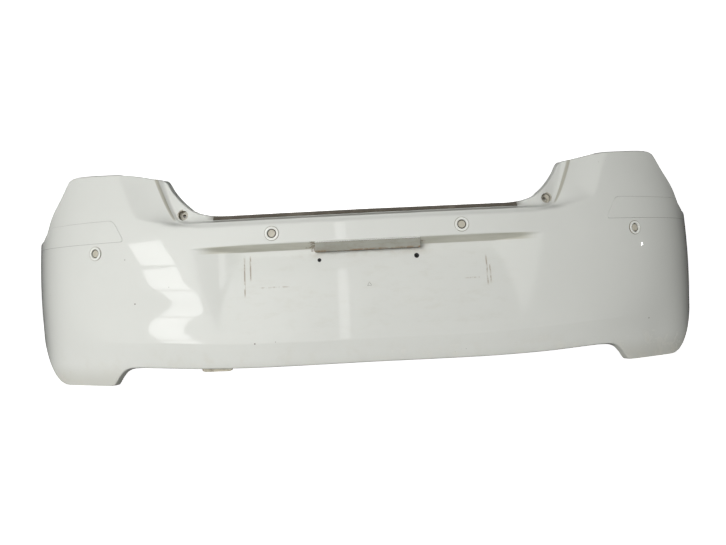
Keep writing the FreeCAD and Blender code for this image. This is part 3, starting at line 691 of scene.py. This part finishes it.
def paint_material():
    """Glossy off-white paint with stains, stone chips, the print of a plate frame, dirt low down, darker
    bottom and top edges, and painted shade under the overhang, in the groove and round the bezels.
    """
    n = Nodes("off_white_paint")
    x, _, z = n.axes()
    away = n.maths("ABSOLUTE", x)
    cloud = n.noise(2.4, 4.0)
    low = n.maths("MULTIPLY", n.span(z, 0.11, 0.0), n.span(n.noise(26.0, 6.0, 0.7), 0.45, 0.8))
    # The band of the overhang's underside, which is given painted shade with dirt.
    under = n.maths("MULTIPLY", band(n, z, OVERHANG_LOW, OVERHANG_HIGH, 0.0012),
                    n.span(away, OVERHANG_FADE, OVERHANG_END))
    colour = overhang_shade_and_dirt(n, haze_and_bottom_tones(n, z, cloud, low), under, away, z)
    back_edge = top_edge_dark_band(n, away, z)
    print_mask = frame_prints(n, x, z)
    chips = stone_chips(n, x, z)
    for mask, amount, dirt in ((lamp_end_stains(n, x, z), 0.75, (0.17, 0.12, 0.07)),
                               # painted shadow line with dirt round each sensor bezel
                               (bezel_shadow_and_dirt(n, x, z), 0.85, (0.22, 0.20, 0.15)),
                               # painted shade and dirt along the step groove
                               (groove_shade_and_dirt_mask(n, x, z), 0.7, (0.33, 0.31, 0.24)),
                               # a darker band along the top edge under the tailgate
                               (back_edge, 0.8, (0.17, 0.15, 0.125)),
                               (print_mask, 0.7, (0.26, 0.20, 0.12)),
                               (recess_film(n, away, z), 0.14, (0.52, 0.50, 0.41)),
                               (chips, 0.85, (0.14, 0.12, 0.09))):
        colour = n.blend(n.maths("MULTIPLY", mask, amount), colour, dirt)
    streaks = n.span(n.noise(1.0, 6.0, 0.6, n.stretched(6.0, 6.0, 90.0)), 0.4, 0.75)
    rough = n.maths("ADD", n.span(cloud, 0.3, 0.75, 0.12, 0.22), n.maths("MULTIPLY", streaks, 0.05))
    dull = n.maths("ADD", n.maths("ADD", print_mask, low, clamp=True), n.maths("ADD", under, back_edge),
                   clamp=True)
    rough = n.maths("ADD", rough, n.maths("MULTIPLY", dull, 0.35))
    height = n.maths("SUBTRACT", n.maths("MULTIPLY", n.noise(420.0, 2.0), 0.12), chips)
    n.bump(height, 0.10, 0.0004)
    return n.finish(colour, rough, Coat_Weight=1.0, Coat_Roughness=0.012, Specular_IOR_Level=0.25)


def raw_material():
    """The bare inside of the moulding: dark plastic, with flow marks, dust and paint mist."""
    n = Nodes("bare_plastic")
    _, _, z = n.axes()
    dust = n.span(n.noise(7.0, 6.0, 0.6), 0.4, 0.75)
    colour = n.blend(n.maths("MULTIPLY", dust, 0.4), (0.045, 0.046, 0.048), (0.15, 0.14, 0.12))
    mist = n.maths("MULTIPLY", n.span(z, 0.33, 0.47), n.span(n.noise(14.0, 4.0), 0.35, 0.65))
    colour = n.blend(n.maths("MULTIPLY", mist, 0.35), colour, (0.42, 0.42, 0.40))
    flow = n.noise(1.0, 4.0, 0.6, n.stretched(3.0, 3.0, 26.0))
    n.bump(n.maths("ADD", n.noise(900.0, 2.0), flow), 0.25, 0.0004)
    return n.finish(colour, n.span(dust, 0.0, 1.0, 0.42, 0.7))


def grained(name, base, dirt, amount=0.5, rough=(0.45, 0.7), grain=1400.0, metallic=0.0, scale=30.0):
    """Moulded plastic or plated metal with fine grain and some dirt."""
    n = Nodes(name)
    mask = n.span(n.noise(scale, 6.0, 0.65), 0.45, 0.7)
    colour = n.blend(n.maths("MULTIPLY", mask, amount), base, dirt)
    n.bump(n.noise(grain, 2.0), 0.3, 0.0002)
    return n.finish(colour, n.span(mask, 0.0, 1.0, *rough), Metallic=metallic)


def lamp_material():
    """The lamp's grey casing, with rust-brown dirt that gathers along its lower edge."""
    n = Nodes("grey_casing")
    _, _, z = n.axes()
    mottle = n.span(n.noise(1.0, 6.0, 0.6, n.stretched(40.0, 40.0, 90.0)), 0.35, 0.7)
    colour = n.blend(mottle, (0.315, 0.315, 0.275), (0.27, 0.265, 0.225))
    edge = n.maths("MULTIPLY", n.span(z, 0.2785, 0.2755), n.span(n.noise(30.0, 5.0, 0.7), 0.42, 0.6))
    colour = n.blend(n.maths("MULTIPLY", edge, 0.85), colour, (0.20, 0.12, 0.06))
    n.bump(n.noise(1400.0, 2.0), 0.3, 0.0002)
    return n.finish(colour, n.span(mottle, 0.0, 1.0, 0.5, 0.75))


def clear_material(name, tint, rough):
    """Clear plastic or glass with faint dust."""
    n = Nodes(name)
    dust = n.span(n.noise(60.0, 5.0, 0.6), 0.5, 0.8)
    colour = n.blend(n.maths("MULTIPLY", dust, 0.3), tint, (0.5, 0.47, 0.4))
    n.bump(n.noise(300.0, 2.0), 0.05, 0.0002)
    return n.finish(colour, n.span(dust, 0.0, 1.0, rough, rough + 0.2), Transmission_Weight=0.92, IOR=1.49)


PAINTED = paint_material()
RAW = raw_material()
GREY = lamp_material()
SEAL = grained("foam_seal", (0.11, 0.098, 0.078), (0.20, 0.18, 0.145), 0.8, (0.8, 0.95), 700.0)
BLACK = grained("black_plastic", (0.02, 0.02, 0.02), (0.09, 0.085, 0.075), 0.4, (0.4, 0.65))
DARK_GREY = grained("holder_plastic", (0.05, 0.05, 0.052), (0.12, 0.11, 0.10), 0.4, (0.45, 0.65))
OLIVE = grained("silicone_ring", (0.085, 0.08, 0.058), (0.15, 0.135, 0.10), 0.6, (0.55, 0.75))
BEZEL_PAINT = grained("bezel_paint", (0.80, 0.81, 0.77), (0.55, 0.52, 0.44), 0.4, (0.15, 0.35), 500.0)
BEIGE = grained("sensor_beige", (0.52, 0.49, 0.41), (0.38, 0.34, 0.26), 0.5, (0.3, 0.5), 600.0)
STEEL = grained("plated_steel", (0.50, 0.49, 0.47), (0.26, 0.15, 0.08), 0.5, (0.3, 0.6), metallic=1.0)
BRASS = grained("tinned_brass", (0.70, 0.64, 0.48), (0.40, 0.32, 0.20), 0.4, (0.25, 0.45), metallic=1.0)
CUP_DIRT = grained("cup_wall", (0.50, 0.48, 0.41), (0.14, 0.11, 0.08), 0.7, (0.5, 0.8), 500.0, scale=120.0)
TAB_DIRT = grained("dirty_tab", (0.50, 0.47, 0.38), (0.16, 0.13, 0.09), 0.9, (0.6, 0.85), 500.0, scale=70.0)
MARK_GREY = grained("mark_grey", (0.15, 0.15, 0.13), (0.10, 0.095, 0.08), 0.5, (0.4, 0.6), 500.0, scale=200.0)
LENS = clear_material("lens_plastic", (0.90, 0.91, 0.89), 0.08)
GLASS = clear_material("bulb_glass", (0.97, 0.97, 0.96), 0.02)


# ---------------------------------------------------------------- pieces
# Millimetres: places are given across the cover and up from its feet.
SIDES = ((-1, "left"), (1, "right"))
SENSOR_PLACES = ((202.5, 318.2), (603.0, 296.8))
SENSOR_HOLE_R = 12.5
PLATE_HOLE_R = {"left": 4.2, "right": 5.4}
CUT_REACH = 20.0
CUP = (402.5, 369.8)
CUP_R = 11.0
CUP_BOSS_R = 6.5
CUP_BOSS_END = 32.0
CUP_WALL = 2.5
CUP_LENGTH = 13.0
CUP_HOLE_R = 3.5
LIP_HOLE_R = 3.5
LIP_HOLE_PLACES = (150.0, 310.0)
LIP_HOLE_DEPTH = 38.0
LIP_HOLE_Z = 36.0
LIP_HOLE_REACH = 15.0
LAMP_GAP = 0.5
LAMP_TOP_GAP = 1.5
TAB_START = 306.0
TAB_END = 374.0
TAB_LOW = 27.0
TAB_HIGH = 34.5
TAB_DEPTH = 24.0
TAB_THICK = 2.5
TAB_CORNER = 3.0
MARK_SIZE = 5.6
MARK_LINE = 1.1
MARK_HEIGHT = 0.35
MARK_Z = 200.0
MOULDING_TOP = 367.0
MOULDING_BOTTOM = 319.0
MOULDING_INNER = [(MOULDING_BOTTOM, 531.0), (MOULDING_TOP, 558.0)]
MOULDING_OUTER = [(MOULDING_BOTTOM, 800.0), (345.0, 772.0), (MOULDING_TOP, 747.0)]
MOULDING_ROUNDING = 10.0
MOULDING_GAP = 0.38
MOULDING_PROUD = 0.5
MOULDING_SUNK = 1.3
POCKET_DEPTH = 1.6
POCKET_REACH = 5.0


def keep(made, slot, *replaced):
    """Fixes a finished piece to the body, and hides the CAD nodes that it replaces."""
    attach(made, "root")
    if replaced:
        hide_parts(*replaced)
    return made


def cup_mouth(side):
    """The middle of a screw cup's mouth, on the flange round the tailgate opening."""
    a, z = CUP
    return Vector([float(v) for v in place(length_at(a), depth_at(a, z, True), z, side)])


def along_y(point, turned=False):
    """Matrix with Z along -Y, out of the cover, at a point."""
    turn = Matrix(((1, 0, 0), (0, 0, -1), (0, 1, 0)))
    return Matrix.Translation(point) @ turn.to_4x4()


def moulding_points(side, grow, proud, columns=96, rows=24):
    """Points over a corner moulding's outline, with rounded corners, grown and lifted off the skin."""
    u = np.linspace(0, 1, columns + 1)[:, None]
    v = (1 - np.cos(np.linspace(0, math.pi, rows + 1)))[None, :] / 2
    z = MOULDING_BOTTOM - grow + (MOULDING_TOP - MOULDING_BOTTOM + 2 * grow) * v
    from_edge = np.minimum(z - z.min(), z.max() - z)
    short = np.maximum(MOULDING_ROUNDING - from_edge, 0.0)
    inset = MOULDING_ROUNDING - np.sqrt(MOULDING_ROUNDING ** 2 - short ** 2)
    inner = length_at(np.interp(z, *zip(*MOULDING_INNER))) - grow + inset
    outer = length_at(np.interp(z, *zip(*MOULDING_OUTER))) + grow - inset
    s = inner + (outer - inner) * u
    z = z + 0 * s
    points = place(s, depth_at(x_at(s), z) - proud, z, side)
    return points if side > 0 else points[::-1]


def drill(radius, matrix, back=-CUT_REACH, front=CUT_REACH):
    """A cylinder along a matrix's Z that cuts a round hole."""
    return lathe("cut", [(0, back), (radius, back), (radius, front), (0, front)], matrix)


def lamp_opening():
    """The block that cuts the number-plate lamp's opening, with a gap round the casing."""
    low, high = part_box("plate_lamp_housing")
    clear = LAMP_GAP * MM
    return box_mesh("cut", [v - clear for v in low], (high[0] + clear, high[1], high[2] + LAMP_TOP_GAP * MM))


def cutters():
    """Everything that is cut out of the skin, as one mesh."""
    parts = [lamp_opening()]
    for side, word in SIDES:
        parts.append(drill(CUP_R, along_y(cup_mouth(side)), -CUP_LENGTH - 5))
        parts.append(drill(PLATE_HOLE_R[word], along_y(centre("plate_grommet_" + word))))
        for a in LIP_HOLE_PLACES:
            point = Vector([float(v) for v in place(length_at(a), LIP_HOLE_DEPTH, LIP_HOLE_Z, side)])
            parts.append(drill(LIP_HOLE_R, Matrix.Translation(point), -LIP_HOLE_REACH, LIP_HOLE_REACH))
        parts.append(closed_sheet("cut", moulding_points(side, MOULDING_GAP, POCKET_REACH),
                                  moulding_points(side, MOULDING_GAP, -POCKET_DEPTH)))
        for a, z in SENSOR_PLACES:
            parts.append(drill(SENSOR_HOLE_R, skin_frame(a, z, side)))
    bm = bmesh.new()
    for part in parts:
        bm.from_mesh(part.data)
        bpy.data.objects.remove(part)
    bmesh.ops.recalc_face_normals(bm, faces=bm.faces)
    joined = new_object("cutters", [], [])
    bm.to_mesh(joined.data)
    bm.free()
    joined.data.materials.append(RAW)
    return joined


def bumper_skin():
    """The painted cover with its bare inside, holes and pockets."""
    s, z, depth = half_grid()
    right = place(s, depth, z, 1)
    left = place(s, depth, z, -1)[:0:-1]
    points = np.concatenate([left, right])
    points[..., 2] = np.maximum(points[..., 2], 0.0)
    columns, rows = points.shape[:2]
    made = new_object("bumper_skin_painted", points.reshape(-1, 3), grid_faces(columns, rows))
    made.data.materials.append(PAINTED)
    made.data.materials.append(RAW)
    made.modifiers.new("smooth", "SUBSURF").levels = 1
    wall = made.modifiers.new("wall", "SOLIDIFY")
    wall.thickness = WALL * MM
    wall.offset = -1.0
    wall.material_offset = 1
    settle(made)
    cut = made.modifiers.new("cut", "BOOLEAN")
    cut.operation = "DIFFERENCE"
    cut.solver = "MANIFOLD"
    cut.object = cutters()
    settle(made)
    bpy.data.objects.remove(bpy.data.objects["cutters"])
    smooth(made, 40)
    return keep(made, "painted_cover", "bumper_skin")


def screw_cup(side, word):
    """A blind cup at the corner of the tailgate opening, with a screw hole in its floor."""
    back = -CUP_LENGTH
    profile = [(CUP_HOLE_R, -CUP_BOSS_END), (CUP_BOSS_R, -CUP_BOSS_END), (CUP_BOSS_R, back - 1.5),
               (CUP_BOSS_R + 1.5, back), (CUP_R + CUP_WALL - 1, back), (CUP_R + CUP_WALL, back + 1),
               (CUP_R + CUP_WALL, -1.5), (CUP_R, -1.2), (CUP_R, back + CUP_WALL + 1.2),
               (CUP_R - 1.2, back + CUP_WALL), (CUP_HOLE_R + 0.6, back + CUP_WALL),
               (CUP_HOLE_R, back + CUP_WALL - 0.6)]
    made = lathe("screw_cup_" + word, profile, along_y(cup_mouth(side)))
    made.data.materials.append(CUP_DIRT)
    smooth(made)
    return keep(made, "painted_cover")


def round_edges(made, width):
    """Rounds an object's sharp edges by a width in millimetres."""
    bevel = made.modifiers.new("round", "BEVEL")
    bevel.width = width * MM
    bevel.segments = 3
    bevel.angle_limit = math.radians(50)
    settle(made)
    smooth(made, 60)


def corner_moulding(side, word):
    """A painted trim strip lying in its pocket."""
    made = closed_sheet("corner_moulding_painted_" + word, moulding_points(side, 0.0, MOULDING_PROUD),
                        moulding_points(side, 0.0, -MOULDING_SUNK))
    made.data.materials.append(PAINTED)
    round_edges(made, 0.6)
    return keep(made, "painted_trim", "corner_moulding_" + word)


def lip_tab():
    """A small dirty tab that hangs from the bottom lip, on the left only."""
    s = length_at(np.linspace(TAB_START, TAB_END, 24))[:, None]
    z = np.linspace(TAB_LOW, TAB_HIGH, 5)[None, :]
    ends = np.minimum(s - s.min(), s.max() - s)
    lower_half = z < (TAB_LOW + TAB_HIGH) / 2
    z = z + TAB_CORNER * np.exp(-ends / TAB_CORNER) * lower_half
    s = s + 0 * z
    front, back = (place(s, depth + 0 * z, z, -1)[::-1] for depth in (TAB_DEPTH, TAB_DEPTH + TAB_THICK))
    made = closed_sheet("lip_tab", front, back)
    made.data.materials.append(TAB_DIRT)
    round_edges(made, 0.7)
    return keep(made, "painted_cover")


def moulded_mark():
    """A small raised triangle in the middle of the plate recess."""
    inner = MARK_SIZE - MARK_LINE
    profile = [(MARK_SIZE, 0.0), (MARK_SIZE, MARK_HEIGHT), (inner, MARK_HEIGHT), (inner, 0.0)]
    here = skin_frame(0.0, MARK_Z, 1) @ Matrix.Rotation(math.pi / 2, 4, "Z")
    made = lathe("moulded_mark", profile, here, segments=3)
    made.data.materials.append(MARK_GREY)
    return keep(made, "painted_cover")


def paint_nodes():
    """Gives each CAD node that stays in view its own material."""
    looks = {"upper_seal_strip": SEAL, "plate_lamp_housing": GREY, "plate_lamp_screws": STEEL,
             "plate_lamp_lens": LENS, "plate_lamp_bulb": GLASS, "plate_lamp_socket": BLACK,
             "plate_grommet": BLACK, "sensor_bezel": BEZEL_PAINT, "sensor_decoupling_ring": OLIVE,
             "sensor_face": BEIGE, "sensor_housing": BLACK, "sensor_terminals": BRASS,
             "sensor_holder": DARK_GREY}
    for name, node in frame["nodes"].items():
        for start, material in looks.items():
            if name.startswith(start):
                node.data.materials.clear()
                node.data.materials.append(material)


bumper_skin()
for side, word in SIDES:
    screw_cup(side, word)
    corner_moulding(side, word)
lip_tab()
moulded_mark()
paint_nodes()


# ---------------------------------------------------------------- room, light and camera
# Metres from here on. A pane is its middle and two edge directions: across and down.
PANE_RADIANCE = 2.9
WINDOW = [((-2.96, -3.0, 0.77), (1.04, 0.0, -0.05), (-0.02, -0.55, -0.32)),
          ((-2.54, -3.0, 0.27), (0.90, 0.0, 0.0), (0.02, -0.46, -0.46)),
          ((-2.17, -3.0, -0.20), (0.80, 0.0, 0.03), (0.02, -0.38, -0.40))]
SKY_RISE = (0.40, 0.19)     # strength of the sky below and above
SKY_SIDE = (1.1, 0.92)      # factor on the left and on the right
SKY_BACK = 0.2              # factor behind the cover
FLOOR_GLOW = 0.86
CAMERA_LENS = 27.77
CAMERA_BACK = 1184.8        # millimetres from the cover's rearmost point
CAMERA_X = -0.0283
CAMERA_Z = 0.2173
CAMERA_TURN = (0.013, 0.007, -0.05)     # yaw, pitch and roll in radians


def hide_from_light(made):
    """Keeps a backdrop from lighting the cover or showing in its paint."""
    made.visible_glossy = False
    made.visible_diffuse = False


def room():
    """A pale floor that rises into a pale wall behind the cover."""
    profile = [(-6.0, 0.0), (3.0, 0.0)]
    profile += [(3.0 + 1.5 * math.sin(t), 1.5 - 1.5 * math.cos(t)) for t in np.linspace(0, math.pi / 2, 16)]
    profile.append((4.5, 6.0))
    vertices = [(x, y, z) for x in (-9.0, 9.0) for y, z in profile]
    count = len(profile)
    faces = [(k, count + k, count + k + 1, k + 1) for k in range(count - 1)]
    made = new_object("pale_floor", vertices, faces)
    made.data.polygons.foreach_set("use_smooth", [True] * len(made.data.polygons))
    n = Nodes("pale_floor")
    shade = n.blend(n.span(n.noise(1.5, 3.0), 0.3, 0.7), (0.86, 0.86, 0.86), (0.90, 0.90, 0.90))
    made.data.materials.append(n.finish(shade, 0.8, Emission_Color=(1.0, 1.0, 1.0, 1.0),
                                        Emission_Strength=FLOOR_GLOW))
    hide_from_light(made)


def surround():
    """A wide pale bowl round the floor, so that every view ends in the same pale tone."""
    profile = [(4.0, -0.01), (22.0, -0.01), (24.0, 1.0), (25.0, 4.0), (25.0, 14.0)]
    turns = np.linspace(0, 2 * math.pi, 65)
    vertices = [(r * math.cos(t), r * math.sin(t), z) for t in turns for r, z in profile]
    made = new_object("pale_surround", vertices, grid_faces(len(turns), len(profile)))
    made.data.materials.append(bpy.data.materials["pale_floor"])
    hide_from_light(made)
    made.visible_shadow = False


def lamp(name, at, towards, size, power, mirrored=True):
    """A soft rectangular light that faces a point; one that isn't mirrored leaves no highlight."""
    data = bpy.data.lights.new(name, "AREA")
    data.shape = "RECTANGLE"
    data.size, data.size_y = size
    data.energy = power
    made = bpy.data.objects.new(name, data)
    made.location = at
    made.rotation_euler = (Vector(towards) - Vector(at)).to_track_quat("-Z", "Y").to_euler()
    made.visible_glossy = mirrored
    bpy.context.scene.collection.objects.link(made)


def window_pane(middle, across, down):
    """A bright pane between two edge directions; the glossy paint mirrors it."""
    middle, across, down = Vector(middle), Vector(across), Vector(down)
    data = bpy.data.lights.new("window_pane", "AREA")
    data.shape = "RECTANGLE"
    data.size, data.size_y = across.length, down.length
    data.energy = math.pi * across.length * down.length * PANE_RADIANCE
    made = bpy.data.objects.new("window_pane", data)
    right = across.normalized()
    up = (right * down.dot(right) - down).normalized()
    turn = Matrix((right, up, right.cross(up))).transposed().to_4x4()
    made.matrix_world = Matrix.Translation(middle) @ turn
    bpy.context.scene.collection.objects.link(made)


def camera():
    """The photograph's viewpoint: level, a little left of the middle and slightly rolled."""
    data = bpy.data.cameras.new("camera")
    data.sensor_width = 36.0
    data.lens = CAMERA_LENS
    data.clip_end = 100.0
    made = bpy.data.objects.new("camera", data)
    yaw, pitch, roll = CAMERA_TURN
    forward = Vector((math.sin(yaw) * math.cos(pitch), math.cos(yaw) * math.cos(pitch), math.sin(pitch)))
    right = forward.cross(Vector((0, 0, 1))).normalized()
    up = right.cross(forward)
    rolled_right = right * math.cos(roll) + up * math.sin(roll)
    rolled_up = up * math.cos(roll) - right * math.sin(roll)
    turn = Matrix((rolled_right, rolled_up, -forward)).transposed().to_4x4()
    made.matrix_world = Matrix.Translation((CAMERA_X, (REAR_Y - CAMERA_BACK) * MM, CAMERA_Z)) @ turn
    bpy.context.scene.collection.objects.link(made)
    bpy.context.scene.camera = made


def sky_ramp(tree, axis, start, stop, first, last):
    """A factor that changes from one value to another along an axis of the sky."""
    node = tree.nodes.new("ShaderNodeMapRange")
    for key, value in (("From Min", start), ("From Max", stop), ("To Min", first), ("To Max", last)):
        node.inputs[key].default_value = value
    tree.links.new(axis, node.inputs["Value"])
    return node.outputs["Result"]


def world():
    """Soft fill: brighter from below and from the left, and dim behind the cover."""
    data = bpy.data.worlds.new("soft_studio")
    data.use_nodes = True
    tree = data.node_tree
    ground = tree.nodes["Background"]
    place_in = tree.nodes.new("ShaderNodeTexCoord")
    parts = tree.nodes.new("ShaderNodeSeparateXYZ")
    tree.links.new(place_in.outputs["Generated"], parts.inputs[0])
    strength = sky_ramp(tree, parts.outputs["Z"], -0.6, 0.9, *SKY_RISE)
    for factor in (sky_ramp(tree, parts.outputs["X"], -1.0, 1.0, *SKY_SIDE),
                   sky_ramp(tree, parts.outputs["Y"], -0.35, 0.45, 1.0, SKY_BACK)):
        both = tree.nodes.new("ShaderNodeMath")
        both.operation = "MULTIPLY"
        tree.links.new(strength, both.inputs[0])
        tree.links.new(factor, both.inputs[1])
        strength = both.outputs[0]
    tree.links.new(strength, ground.inputs["Strength"])
    ground.inputs["Color"].default_value = (1.0, 1.0, 0.965, 1.0)
    bpy.context.scene.world = data


room()
surround()
world()
camera()
bpy.context.scene.view_settings.view_transform = "Standard"
lamp("key", (-1.85, -4.3, 0.8), (0, 0, 0.2), (2.6, 2.0), 167, False)
for middle, across, down in WINDOW:
    window_pane(middle, across, down)
lamp("back_fill", (0.0, 2.8, 1.3), (0, 0, 0.2), (3.4, 1.6), 45)
lamp("doorway", (-0.14, -3.0, 0.65), (-0.05, 0, 0.3), (0.09, 1.3), 0.6)
lamp("far_window", (2.96, -0.97, 0.42), (0.62, -0.1, 0.27), (0.07, 0.03), 0.1)
